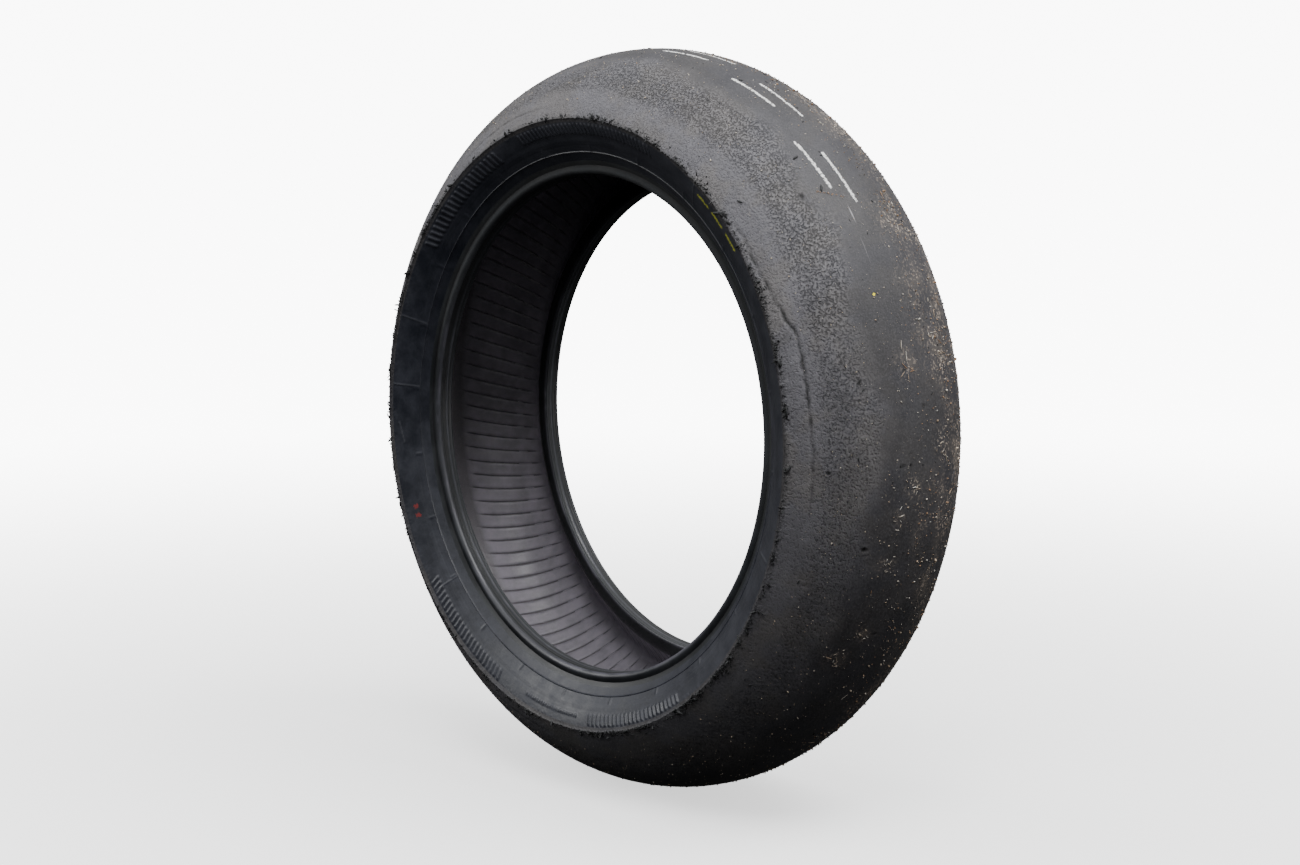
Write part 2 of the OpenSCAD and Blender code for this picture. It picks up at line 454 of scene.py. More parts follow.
CENTRE_DARK, CENTRE_PALE = (0.027, 0.0262, 0.030, 1), (0.039, 0.0375, 0.040, 1)
SHOULDER_DARK, SHOULDER_PALE = (0.080, 0.0775, 0.083, 1), (0.122, 0.118, 0.123, 1)
STRIP_GREY = (0.145, 0.141, 0.149, 1)               # the even strip along the tread's edge
FINE_GREY = (0.150, 0.146, 0.152, 1)
STREAK_GREY = (0.048, 0.046, 0.050, 1)
# painted highlight on the grain's crests, and painted shade in its pits
CREST_HIGHLIGHT_GREY, PIT_SHADE_GREY = (0.190, 0.185, 0.192, 1), (0.024, 0.023, 0.025, 1)
WARM_TINT, COOL_TINT = (1.03, 1.0, 0.95, 1), (0.975, 0.98, 1.03, 1)
SCRATCH_GREY = (0.36, 0.35, 0.36, 1)
ROAD_DUST, PALE_DUST = (0.165, 0.140, 0.118, 1), (0.46, 0.38, 0.31, 1)
CHALK = (0.86, 0.86, 0.84, 1)
CRAYON = (0.52, 0.53, 0.05, 1)
YELLOW_PAINT = (1.0, 0.83, 0.0, 1)
RED_PAINT = (0.22, 0.022, 0.020, 1)
WALL_DARK, WALL_PALE = (0.0120, 0.0138, 0.0205, 1), (0.0260, 0.0285, 0.0395, 1)
# painted light on the wall
WALL_PAINTED_LIGHT = (0.0470, 0.0485, 0.0580, 1)
WALL_SPECK, WALL_EDGE_HIGHLIGHT = (0.046, 0.046, 0.052, 1), (0.060, 0.062, 0.074, 1)
BEAD_EDGE_HIGHLIGHT = (0.125, 0.122, 0.148, 1)
LINER_DARK, LINER_PALE = (0.150, 0.138, 0.162, 1), (0.225, 0.207, 0.242, 1)
LINER_BAND = (0.052, 0.046, 0.050, 1)               # down the liner's middle
# The colours of grit by tint, 0 to 1: soil, clay, brick, straw and quartz
GRIT_COLOURS = ((0.0, (0.10, 0.085, 0.07, 1)), (0.35, (0.30, 0.22, 0.15, 1)), (0.6, (0.46, 0.26, 0.14, 1)),
                (0.8, (0.60, 0.50, 0.38, 1)), (1.0, (0.85, 0.82, 0.76, 1)))


def tread_look(n):
    """Worn rubber: dark over the crown, grey and grained on the shoulders, with dust and chalk on it."""
    wear, hollow, dust, strip = (n.field(name) for name in ("wear", "hollow", "dust", "strip"))
    cloud, fine, pit = n.noise(33, 5, 0.65), n.noise(650, 3, 0.6), n.noise(590, 2, 0.6)
    # the worn grey also carries painted shade low on the tyre
    worn = n.math("ADD", wear, n.span(n.noise(13, 5, 0.62), 0.3, 0.7, -0.16, 0.12), clamp=True)
    centre = n.mix(n.span(cloud, 0.35, 0.65), CENTRE_DARK, CENTRE_PALE)
    shoulder = n.mix(n.span(cloud, 0.32, 0.68), SHOULDER_DARK, SHOULDER_PALE)
    colour = n.cover(n.mix(worn, centre, shoulder), STRIP_GREY, strip, 0.5)
    tint = n.mix(n.span(n.noise(24, 3, 0.6), 0.42, 0.58), WARM_TINT, COOL_TINT)
    colour = n.mix(1.0, colour, tint, "MULTIPLY")
    colour = n.mix(n.span(fine, 0.42, 0.75, 0, 0.35), colour, FINE_GREY)
    streak = n.noise(260, 4, 0.65, at=n.stretched(0.12, 1, 0.12))
    colour = n.mix(n.span(streak, 0.38, 0.72, 0, 0.24), colour, STREAK_GREY)

    grained = n.times(n.span(wear, 0.1, 1, 0.12, 1.0), n.span(strip, 0, 1, 1.0, 0.5))
    # painted highlight on the grain's flat crests and painted shade in its pits
    colour = n.cover(colour, CREST_HIGHLIGHT_GREY, n.times(n.span(pit, 0.52, 0.60), grained), 0.4)
    colour = n.cover(colour, PIT_SHADE_GREY, n.times(n.span(pit, 0.445, 0.385), grained), 0.54)
    # painted shade: pits, torn skin, peeled grooves and the fringe's hollows are painted near black
    colour = n.cover(colour, grey(0.007), hollow, 0.8)

    haze = n.times(dust, n.span(n.noise(44, 8, 0.75), 0.44, 0.58))
    colour = n.cover(colour, ROAD_DUST, haze, 0.62)
    grains = n.times(n.span(n.noise(420, 1, 0.5), 0.57, 0.63), n.math("POWER", dust, 1.1))
    colour = n.cover(colour, PALE_DUST, grains, 0.9)
    rubbed = n.span(n.noise(900, 3, 0.7), 0.34, 0.50)
    colour = n.cover(colour, CHALK, n.mark("chalk", 420, 0.45, 1.5, 1.0), rubbed)
    colour = n.cover(colour, SCRATCH_GREY, n.span(n.field("scratch"), 0.8, 0.3), 0.8)
    colour = n.mix(n.span(n.field("dot"), 1.5, 1.2), colour, YELLOW_PAINT)
    relief = n.bump(n.span(pit, 0.37, 0.53), grained, 1.0)
    return {"Base Color": colour, "Roughness": n.span(fine, 0.3, 0.7, 0.50, 0.72),
            "Specular IOR Level": 0.45, "Normal": n.bump(n.noise(1900, 2), 0.35, 0.2, relief)}


def wall_look(n):
    """Smooth moulded rubber, bluish and scuffed, with painted highlights along its moulded edges, painted
    light about one turn and painted shade on the thick shed rubber.
    """
    scuff, fine = n.noise(45, 5, 0.7), n.noise(800, 3, 0.6)
    colour = n.mix(n.span(scuff, 0.35, 0.7), WALL_DARK, WALL_PALE)
    # painted light: the wall is paler about one turn
    colour = n.cover(colour, WALL_PAINTED_LIGHT, n.field("film"), 0.5)
    colour = n.mix(n.span(fine, 0.55, 0.8, 0, 0.5), colour, WALL_SPECK)
    # painted shade, darkest on the thick shed rubber under the tread's edge
    colour = n.cover(colour, grey(0.005, -0.1), n.field("hollow"), 0.8)
    # painted highlights along the moulded edges
    colour = n.cover(colour, WALL_EDGE_HIGHLIGHT, n.field("edge"), 0.6)
    wax = n.span(n.noise(520, 4, 0.7), 0.35, 0.5)
    crayon = n.times(n.mark("crayon", 480, 0.6, 1.5, 0.7), wax)
    colour = n.cover(colour, CRAYON, crayon, 0.85)
    colour = n.cover(colour, RED_PAINT, n.mark("spot", 500, 0.9, 2.9, 1.7), 0.75)
    soft = n.bump(n.noise(260, 3, 0.6), 0.25, 0.4)
    return {"Base Color": colour, "Roughness": n.span(scuff, 0.3, 0.7, 0.36, 0.54),
            "Specular IOR Level": 0.5, "Normal": n.bump(fine, 0.3, 0.15, soft)}


def bead_look(n):
    """Rubber over a woven strip, polished by the rim where it isn't matt; painted highlights lie along its
    edges and painted shade in its grooves.
    """
    scuff = n.noise(60, 5, 0.7, at=n.stretched(0.4, 2, 0.4))
    weave = n.noise(700, 2, at=n.stretched(0.5, 1.6, 0.5))
    colour = n.mix(n.span(scuff, 0.35, 0.7), grey(0.014, -0.14), grey(0.032, -0.12))
    # painted highlights along the heel, toe and seat ridge
    colour = n.cover(colour, BEAD_EDGE_HIGHLIGHT, n.field("edge"), 0.68)
    # painted shade in the seat's grooves, the flange valley, inside the toe and along the seat
    colour = n.cover(colour, grey(0.004), n.field("hollow"), 0.85)
    matt = n.times(n.field("matt"), 0.42)
    return {"Base Color": colour, "Roughness": n.math("ADD", n.span(scuff, 0.3, 0.7, 0.33, 0.48), matt),
            "Specular IOR Level": 0.5, "Normal": n.bump(weave, 0.3, 0.2)}


def liner_look(n):
    """Soft violet-grey rubber with a darker band down its middle."""
    cloud, fine = n.noise(38, 5, 0.65), n.noise(900, 2, 0.5)
    colour = n.mix(n.span(cloud, 0.3, 0.7), LINER_DARK, LINER_PALE)
    colour = n.cover(colour, LINER_BAND, n.field("band"), 0.72)
    # painted shade in the grooves
    colour = n.cover(colour, grey(0.012), n.field("hollow"), 0.75)
    colour = n.mix(n.span(fine, 0.62, 0.74, 0, 0.35), colour, grey(0.24))
    soft = n.bump(n.noise(120, 4, 0.6), 0.3, 0.8)
    return {"Base Color": colour, "Roughness": n.span(cloud, 0.3, 0.7, 0.34, 0.50),
            "Specular IOR Level": 0.5, "Normal": n.bump(fine, 0.25, 0.12, soft)}


def crumb_look(n):
    fine = n.noise(900, 3, 0.6)
    colour = n.mix(n.span(fine, 0.3, 0.75), grey(0.010, -0.04), grey(0.035, -0.03))
    colour = n.cover(colour, grey(0.075, -0.03), n.field("tint"), 0.6)
    return {"Base Color": colour, "Roughness": n.span(fine, 0.3, 0.7, 0.6, 0.8),
            "Specular IOR Level": 0.35, "Normal": n.bump(fine, 0.5, 0.3)}


def grit_look(n):
    ramp = n.add("ValToRGB", {"Fac": n.field("tint")})
    for i, (at, colour) in enumerate(GRIT_COLOURS):     # a new ramp has two stops
        stop = ramp.color_ramp.elements[i] if i < 2 else ramp.color_ramp.elements.new(at)
        stop.position, stop.color = at, colour
    speckle = n.span(n.noise(2600, 2), 0.35, 0.7, 0.65, 1.0)
    colour = n.mix(1.0, ramp.outputs[0], speckle, "MULTIPLY")
    return {"Base Color": colour, "Roughness": n.span(speckle, 0.65, 1.0, 0.75, 0.5),
            "Normal": n.bump(speckle, 0.3, 0.1)}


def layer_look(low, high, rough=0.7, metallic=0.0, cords=None):
    """Rubber or steel that only a cut would show; cords is how closely its threads lie along Y."""
    def build(n):
        cloud = n.noise(90, 4, 0.6)
        colour = n.mix(n.span(cloud, 0.3, 0.7), low, high)
        height = cloud
        if cords:
            thread = n.add("TexWave", {"Vector": n.place(), "Scale": cords, "Distortion": 0.4},
                           bands_direction="Y").outputs["Fac"]
            colour = n.mix(n.span(thread, 0.2, 0.8), grey(0.02), colour)
            height = thread
        return {"Base Color": colour, "Metallic": metallic, "Normal": n.bump(height, 0.4, 0.3),
                "Roughness": n.span(cloud, 0.3, 0.7, rough - 0.1, rough + 0.1)}
    return build


tread_rubber = material("worn_tread_rubber", tread_look)
wall_rubber = material("sidewall_rubber", wall_look)
bead_rubber = material("rim_strip_rubber", bead_look)
liner_rubber = material("liner_rubber", liner_look)
crumb_rubber = material("torn_rubber", crumb_look)
grit_stone = material("road_grit", grit_look)
hidden_looks = {                    # by the start of the CAD nodes' names
    "tread_base": layer_look(grey(0.016), grey(0.026), 0.75),
    "belt": layer_look((0.24, 0.17, 0.08, 1), (0.42, 0.32, 0.17, 1), 0.4, 1.0, cords=180),
    "belt_cushion": layer_look(grey(0.018), grey(0.028), 0.75),
    "carcass_ply": layer_look((0.12, 0.09, 0.055, 1), (0.20, 0.155, 0.10, 1), 0.8, cords=240),
    "bead_filler": layer_look(grey(0.020, 0.06), grey(0.034, 0.06), 0.7),
    "bead_rubber": layer_look(grey(0.022), grey(0.034), 0.7),
    "bead_wires": layer_look((0.42, 0.27, 0.12, 1), (0.62, 0.44, 0.22, 1), 0.32, 1.0),
}
for start, build_look in hidden_looks.items():
    made = material(start + "_material", build_look)
    for name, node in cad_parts.items():
        if name.startswith(start):
            node.data.materials.clear()
            node.data.materials.append(made)

# ---------------------------------------------------------------- tread

# Plain dashes of chalk in place of the hand-written characters, each from and to a (turn, crown)
CHALK_STROKES = (((82, -13), (73, -11)), ((79, -4), (70, -2)), ((65, -17), (56, -15)),
                 ((62, -8), (53, -6)), ((48, -21), (39, -19)), ((45, -12), (36, -10)))
SCRATCHES = (((37.5, -15), (31, -16.5), (26, -16.5)), ((-3, 24), (-5, 20)))
YELLOW_DOT = (22, -20)
# Torn pits: (turn, crown, length, depth)
TORN_PITS = ((39, -34, 5.5, 1.7), (10, -35, 4.5, 1.3), (6, -4, 4, 1.2), (11, -13, 4, 1.1),
             (-27, -12, 3.5, 1.1), (-2, -16, 3.5, 1.1), (63, -37, 4.5, 1.2))
CRATERS = ((-3, -48, 2.4), (-14, -30, 3.0))             # burst blisters: (turn, crown, radius)
# Patches of pale dust: (turn, crown, half-length, strength)
DUST_PATCHES = ((33, 8, 20, 0.6), (17, 8, 18, 0.6), (12, -11, 9, 0.8), (12, 13, 17, 0.9), (1, 10, 11, 1),
                (-5, -8, 8, 0.9), (-9, -15, 7, 0.4), (-16, -18, 8, 0.4), (-27, -18, 6, 0.9),
                (-32, -26, 9, 0.5))
LOW_SHADE_AT, LOW_SHADE_REACH, LOW_SHADE_SHARE = -52, 46, 0.42      # the shoulders' grey is painted darker about this turn, low down: painted shade
CALM_AT, CALM_REACH = 112, 30       # the tread's edge is cleaner about this turn
CALM_WEAR = 0.25                    # and its shoulder is less worn by this
RANDOM_PITS = 150
PIT_REACH = 2                       # degrees of turn round a pit that it can touch
PEEL_DEPTH = 1.35
FAR_OFF = 60                        # distances to marks are held to this
# Where the skin has peeled to a step near the tread's edge: (turn, crown, how deep 0 to 1)
PEEL_NEAR = ((-180, 54, 0), (-140, 55, 0), (-128, 54, 0.8), (-104, 54, 0.7), (-96, 55, 0),
             (-12, 52, 0), (-4, 52, 0.5), (10, 53, 1), (18, 53, 0.9), (24, 56, 0.8), (30, 58, 0.9),
             (37, 58, 0.5), (44, 58, 0), (96, 55, 0), (108, 54, 0.6), (121, 55, 0.5), (128, 55, 0),
             (180, 54, 0))
PEEL_FAR_SHIFT = 74                 # the far edge's peeled stretches lie this much further round


def calm_at(turn):
    """1 where the tread's edge is cleanest, and 0 far from there."""
    return np.exp(-(angle_apart(turn, CALM_AT) / CALM_REACH) ** 2)


def peel_line(turn, side):
    """The crown angle of the peeled step on one side, and how deep it is."""
    at = angle_apart(turn - (PEEL_FAR_SHIFT if side == LEFT else 0), 0)
    turns, crowns, depths = zip(*PEEL_NEAR)
    return np.interp(at, turns, crowns), np.interp(at, turns, depths)


def around(turn, centre):
    """Distance round the tread from centre to turn."""
    return np.radians(angle_apart(turn, centre)) * OUTER_R


def skin_distance(points, turn, across):
    """Distance over the tread's skin from a stroke through (turn, crown) points."""
    curve = curve_through(points) if len(points) > 2 else np.array(points, float)
    middle = curve[:, 0].mean()
    near = np.abs(angle_apart(turn[0], middle)) < np.ptp(curve[:, 0]) / 2 + 6
    result = np.full(turn.shape, float(FAR_OFF))
    places = np.stack([np.radians(curve[:, 0] - middle) * OUTER_R, across_of(curve[:, 1])], -1)
    u = around(turn[:, near], middle)
    result[:, near] = np.minimum(near_line(places, u, across[:, near]), FAR_OFF)
    return result


def add_pits(height, hollow, turn, across):
    """Sinks the torn pits, the placed ones and then random ones, and the burst blisters, and paints shade
    into each.
    """
    rng = np.random.default_rng(11)
    pits = [*TORN_PITS, *zip(rng.uniform(-180, 180, RANDOM_PITS), rng.uniform(-56, 56, RANDOM_PITS),
                             rng.uniform(1.6, 3.4, RANDOM_PITS), rng.uniform(0.3, 0.9, RANDOM_PITS))]
    for (at, at_crown, length, depth), slant in zip(pits, rng.uniform(0, 180, len(pits))):
        near = np.abs(angle_apart(turn[0], at)) < PIT_REACH
        u, v = around(turn[:, near], at), across[:, near] - across_of(at_crown)
        c, s = math.cos(math.radians(slant)), math.sin(math.radians(slant))
        far = ((u * c + v * s) / (length / 2)) ** 2 + ((v * c - u * s) / (length / 3.4)) ** 2
        height[:, near] += depth * (0.35 * np.exp(-far / 3.5) - 1.25 * np.exp(-far))
        # painted shade, darkest at the pit's middle
        dark = min(1.1, 0.35 + 0.6 * depth) * np.exp(-far * 0.8)
        hollow[:, near] = np.maximum(hollow[:, near], dark)
    for at, at_crown, radius in CRATERS:
        near = np.abs(angle_apart(turn[0], at)) < PIT_REACH
        far = np.hypot(around(turn[:, near], at), across[:, near] - across_of(at_crown))
        rim = 0.55 * np.exp(-((far - radius) / 0.9) ** 2)
        height[:, near] += rim - 1.4 * smooth(radius, radius * 0.3, far)
        # painted shade inside the blister
        hollow[:, near] = np.maximum(hollow[:, near], smooth(radius * 0.95, radius * 0.35, far))


def add_peel(height, hollow, turn, across, skin):
    """Cuts the peeled step along each side: a groove with painted shade in it, and a raised skin beyond
    it.
    """
    for side in (LEFT, RIGHT):
        at_crown, depth = peel_line(turn, side)
        wander = 1.5 * skin(8, 11, 50, 3)
        gap = (across - across_of(side * at_crown)) * side + wander
        ripple = PEEL_DEPTH * depth * np.clip(0.72 + 0.9 * skin(9, 13, 60, 2), 0.15, 1.4)
        height -= ripple * (0.85 * np.exp(-(gap / 1.0) ** 2) - 0.28 * smooth(0.5, 2.5, gap))
        # painted shade along the groove
        np.maximum(hollow, ripple * 1.1 * np.exp(-(gap / 1.15) ** 2), out=hollow)


def dust_on(turn, crown, across, on_top, skin):
    """How dusty the skin is: cloudy towards +Y, and in the patches."""
    spread = smooth(-6, 26, crown + 18 * skin(12, 95, 60, 3))
    dust = spread * (0.42 + 0.9 * skin(13, 40, 30, 3)) * on_top
    cloudy = 0.8 + 0.7 * skin(16, 9, 6, 2)
    for at, at_crown, half, strength in DUST_PATCHES:
        far = np.hypot(around(turn, at), across - across_of(at_crown)) / half
        dust = np.maximum(dust, strength * np.exp(-far ** 2) * cloudy)
    return dust


def tread_relief(turn, line):
    """The worn skin of the centre or of a shoulder, and over the edge onto the wall."""
    crown = crown_of(line)[:, None] + 0 * turn
    edge_row = np.argmax(np.abs(line[:, 1]))
    on_skirt = np.zeros(len(line), bool)
    if abs(line[edge_row, 1]) > tread_edge[1] - 0.05:       # rows past the edge lie on the wall
        outward = 1 if line[edge_row, 1] > 0 else -1
        on_skirt[edge_row + 1 if outward > 0 else 0:None if outward > 0 else edge_row] = True
        crown[on_skirt] = outward * EDGE_AT
    slack = np.zeros(len(line))                             # distance past the edge
    slack[on_skirt] = np.linalg.norm(line[on_skirt] - line[edge_row], axis=1)
    across = across_of(crown) + (slack * np.sign(crown[:, 0]))[:, None]
    slack = slack[:, None]
    a = np.abs(crown)

    def skin(seed, around_size, across_size, octaves=1):
        return ring_noise(seed, turn, across, around_size, across_size, octaves)

    patches, drift, calm = skin(1, 75, 45, 3), skin(2, 140, 90, 2), calm_at(turn)
    wear = smooth(20, 41, a + 8 * patches) * smooth(60.4, 59.0, a) * smooth(0.5, 0.1, slack)
    # painted shade: the shoulders' grey is turned down about one turn low on the tyre
    wear *= 1 - LOW_SHADE_SHARE * np.exp(-(angle_apart(turn, LOW_SHADE_AT) / LOW_SHADE_REACH) ** 2)
    wear *= 1 - CALM_WEAR * calm
    grain = smooth(29, 40, a + 5 * drift) * smooth(55.5, 50, a) * (0.75 + 0.5 * patches)
    strip = smooth(47, 52.5, a + 2.5 * drift) * smooth(60, 58.5, a) * smooth(0.5, 0.1, slack)
    fringe = smooth(54.5, 58.5, a) * (1 - 0.7 * calm)
    torn = smooth(0.10, 0.42, skin(3, 2.7, 2.9) + 0.3 * skin(4, 14, 10))
    ridges, spikes = skin(5, 3.0, 3.4, 2), skin(6, 1.9, 2.1, 2)
    height = (0.11 * patches + 0.035 * skin(7, 7, 9, 2)
              + grain * (0.17 * ridges - 0.27 * torn) + fringe * (0.26 * spikes - 0.1))
    # painted shade in the sunk torn skin and between the fringe's spikes
    hollow = grain * torn * 0.12 + fringe * smooth(0.05, 0.6, -spikes) * 0.45
    add_pits(height, hollow, turn, across)
    add_peel(height, hollow, turn, across, skin)
    dust = dust_on(turn, crown, across, smooth(0.4, 0.1, slack), skin)

    # The lip: rubber dragged over the edge in little tongues
    lip = np.clip(skin(14, 2.2, 30, 2) + 0.1 + 0.4 * skin(15, 26, 90), 0, 1) ** 1.3
    tongues = 0.5 + (1 - 0.75 * calm) * 2.0 * lip
    slide = smooth(58.6, 60, a) * smooth(3.0, 0.3, slack) * tongues * np.sign(crown)
    fade = smooth(4.1, 2.5, slack)
    fields = {"wear": wear, "strip": strip, "hollow": hollow, "dust": dust}
    fields = {key: np.clip(value, 0, 1) * fade for key, value in fields.items()}
    for key, strokes in (("chalk", CHALK_STROKES), ("scratch", SCRATCHES)):
        fields[key] = np.min([skin_distance(stroke, turn, across) for stroke in strokes], axis=0)
    at, at_crown = YELLOW_DOT
    fields["dot"] = np.minimum(FAR_OFF, np.hypot(around(turn, at), across - across_of(at_crown)))
    return height * fade, slide * fade, fields


centre_lines = split_outline("tread_centre", split * [1, -1], split)
ring_piece("tread_centre_worn", "tread_centre", "tread_centre_rubber", *centre_lines, 1.9,
           even_turns(TREAD_COLUMNS), tread_relief, tread_rubber, skip=5)
shoulder_lines = split_outline("tread_shoulder_left", split, skirt)
both_sides(lambda side, name: ring_piece(
    "tread_shoulder_worn_" + name, "tread_shoulder_" + name, "tread_shoulder_rubber", *shoulder_lines,
    1.38, even_turns(TREAD_COLUMNS), tread_relief, tread_rubber, side))

# ---------------------------------------------------------------- sidewalls

# Plain even ribs in place of the moulded lettering: (first turn, last turn, middle radius, height, pitch)
BAR_BANDS = ((113, 143, 252, 11, 6.4), (66, 105, 254, 8.5, 5.0), (-141, -113, 254, 8.5, 5.6),
             (-104, -88, 252, 2.6, 3.0), (-84, -56, 254, 8.5, 5.4))
BAR_SHARE = 0.46                    # of the pitch
BAR_SLANT = 0.35
BAR_RISE, RIDGE_RISE, TICK_RISE, MARK_RISE, SHED_RISE = 0.8, 0.45, 0.35, 0.4, 0.35
FAR_WALL_SHIFT = 25                 # the far wall carries the same marks, turned round by this
TICK_PITCH, TICK_START, TICK_R = 15, 10.5, 238.2
MOULD_LINES = ((240.2, -0.14), (244.0, 0.10), (247.0, -0.10), (260.0, 0.14))    # (radius, height)
BAR_MARK = (-176.8, 253.5, 4.4, 250)        # a plain slanting bar: (turn, radius, span, end radius)
PAINTED_LIGHT_AT = 35                        # the wall is painted paler about this turn: painted light
WEAR_RIDGES = (160, 175, -139, -20, 52)     # turns
# A row of plain crayon dashes in place of the hand-written characters: (first turn, last turn)
CRAYON_DASHES = ((37, 40.5), (42, 45.5), (47, 50.5))
CRAYON_R = 254.5
RED_SPOTS = ((-158, 249), (-156, 249))      # (turn, radius)


def wall_relief(turn, line):
    """Moulded ribs, lines and ticks, wear ridges, and rubber shed by the tread; crayon on one wall."""
    r = line[:, :1] + 0 * turn
    near_side = line[:, 1].mean() < 0
    facing = turn if near_side else -turn + FAR_WALL_SHIFT

    def skin(seed, around_size, across_size, octaves=1):
        return ring_noise(seed + (0 if near_side else 50), turn, r, around_size, across_size, octaves)

    def arc(at):
        return np.radians(angle_apart(facing, at)) * r

    height = 0.05 * skin(21, 22, 14, 2) + 0.025 * skin(22, 4, 4, 2)
    # painted highlights along the ribs, wear ridges and slanting bar
    edge = np.zeros_like(r)
    for first, last, middle, tall, pitch in BAR_BANDS:
        for at in np.arange(first, last, math.degrees(pitch / middle)):
            u = arc(at) - BAR_SLANT * (r - middle)
            inside = np.minimum(pitch * BAR_SHARE / 2 - np.abs(u), tall / 2 - np.abs(r - middle))
            height += BAR_RISE * smooth(-0.4, 0.45, inside)
            edge = np.maximum(edge, 0.5 * smooth(-0.5, 0.1, inside) * smooth(0.9, 0.3, inside))
    for at in WEAR_RIDGES:
        ridge = np.exp(-(arc(at) / 0.55) ** 2) * smooth(234, 237, r) * smooth(262, 258, r)
        height += RIDGE_RISE * ridge
        edge = np.maximum(edge, ridge)
    half_pitch = TICK_PITCH / 2
    tick = np.abs((facing - TICK_START + half_pitch) % TICK_PITCH - half_pitch) * np.radians(1) * r
    height += TICK_RISE * smooth(1.5, 0.9, tick) * smooth(3.2, 2.4, np.abs(r - TICK_R))
    for circle, tall in MOULD_LINES:
        height += tall * np.exp(-((r - circle) / 0.6) ** 2)
    at, start_r, span, end_r = BAR_MARK
    mark = near_line([(0, start_r), (math.radians(span) * end_r, end_r)], arc(at), r)
    height += MARK_RISE * smooth(0.9, 0.4, mark)
    edge = np.maximum(edge, 0.8 * smooth(1.1, 0.5, mark))
    shed = smooth(255, 261, r) * smooth(0.15, 0.5, skin(24, 3.0, 3.0, 2))     # rubber rolled off the tread
    height += SHED_RISE * shed
    crayon, spot = np.full_like(r, FAR_OFF), np.full_like(r, FAR_OFF)
    if near_side:
        for first, last in CRAYON_DASHES:
            half = np.radians(last - first) / 2 * CRAYON_R
            past_end = np.maximum(np.abs(arc((first + last) / 2)) - half, 0)
            crayon = np.minimum(crayon, np.hypot(past_end, r - CRAYON_R))
        for at, radius in RED_SPOTS:
            spot = np.minimum(spot, np.hypot(arc(at), r - radius))
    ends = smooth(0, 1.2, r - r.min()) * smooth(0, 1.2, r.max() - r)
    # painted light, paler about one turn
    film = smooth(-0.4, 0.8, np.cos(np.radians(facing - PAINTED_LIGHT_AT)) + 0.3 * skin(25, 60, 20, 2))
    # painted shade on the thick shed rubber under the tread's edge
    return height * ends, 0 * r, {"edge": edge, "hollow": smooth(0.5, 1.0, shed) * 0.3,
                                  "film": film, "crayon": crayon, "spot": spot}


wall_lines = split_outline("sidewall_left", skirt, flange)
both_sides(lambda side, name: ring_piece(
    "sidewall_moulded_" + name, "sidewall_" + name, "sidewall_rubber", *wall_lines, 0.85,
    even_turns(WALL_COLUMNS), wall_relief, wall_rubber, side))

# ---------------------------------------------------------------- beads

SEAT_GROOVES = ((69.2, 0.6), (66.0, 0.3), (61.2, 0.4))      # (distance along Y, depth) of moulded rings
HIGHLIGHT_SHIFT = 20                    # painted highlights lie on the beads' edges below a line tilted by this, where the beads are also less matt
RIDGE_AT, RIDGE_HEIGHT = 63.4, 0.3  # a ridge round the seat: distance along Y, and height


def bead_relief(turn, line):
    """Moulded rings on the bead's seat, painted shade in them and in the valleys, and painted highlights
    along the edges on the lower half, which the rim has polished.
    """
    r, y = line[:, :1] + 0 * turn, np.abs(line[:, 1:]) + 0 * turn
    height = 0.05 * ring_noise(31, turn, y + r, 30, 10, 3)
    hollow = 0 * r
    # painted shade in the seat's grooves
    for at, depth in SEAT_GROOVES:
        cut = np.exp(-((y - at) / 0.45) ** 2) * smooth(220, 217, r)
        height -= depth * cut
        hollow = np.maximum(hollow, cut * 0.7)
    # painted shade in the flange valley, inside the toe and along the seat between heel and toe
    valley = np.exp(-((r - 224) / 2.4) ** 2) * smooth(69, 71, y)
    inside = smooth(60, 58.4, y) * smooth(217.5, 219.5, r)
    shade = smooth(70.9, 70.0, y) * smooth(64.6, 65.8, y) * smooth(220, 217, r)
    hollow = np.maximum.reduce([hollow, 0.75 * valley, 0.75 * inside, 0.7 * shade])
    ridge = np.exp(-((y - RIDGE_AT) / 0.9) ** 2) * smooth(220, 217, r)
    height += RIDGE_HEIGHT * ridge
    # painted highlights on the lower half, in patches
    low = smooth(0.55, -0.25, np.sin(np.radians(turn + HIGHLIGHT_SHIFT)))
    highlight_patches = smooth(0.0, 0.5, ring_noise(32, turn, y, 60, 8, 3)) * low
    corner = np.exp(-((y - y.max() + 3.0) / 1.6) ** 2) * smooth(222, 218, r)
    toe = np.exp(-((y - y.min()) / 1.2) ** 2) * smooth(221, 217, r)
    ends = end_fade(len(line), 3)
    return height * ends, 0 * r, {"hollow": hollow, "matt": 1 - low,
                                  "edge": (corner + toe + ridge) * (0.05 + 0.35 * low + 0.6 * highlight_patches)}


bead_lines = split_outline("rim_strip_left", flange, bead_end)
both_sides(lambda side, name: ring_piece(
    "rim_strip_moulded_" + name, "rim_strip_" + name, "rim_strip_rubber", *bead_lines, 0.8,
    even_turns(BEAD_COLUMNS), bead_relief, bead_rubber, side))

# ---------------------------------------------------------------- inner liner

LINER_GROOVES = 138
GROOVE_COLUMNS = (-0.28, -0.11, -0.062, -0.024, 0.024, 0.062, 0.11, 0.28)      # in shares of the pitch
GROOVE_LEAN = 1.6 / 31              # turn of a groove per mm along Y
GROOVE_DEPTH = 0.6
GROOVE_FROM, GROOVE_TO = 27, 83.5   # distance along Y where a groove starts and ends


def liner_turns(line):
    """Columns that follow the grooves, close together where a groove is cut."""
    base = (np.arange(LINER_GROOVES)[:, None] + np.array(GROOVE_COLUMNS)).ravel() * 360 / LINER_GROOVES
    return base[None] + line[:, 1:] * GROOVE_LEAN


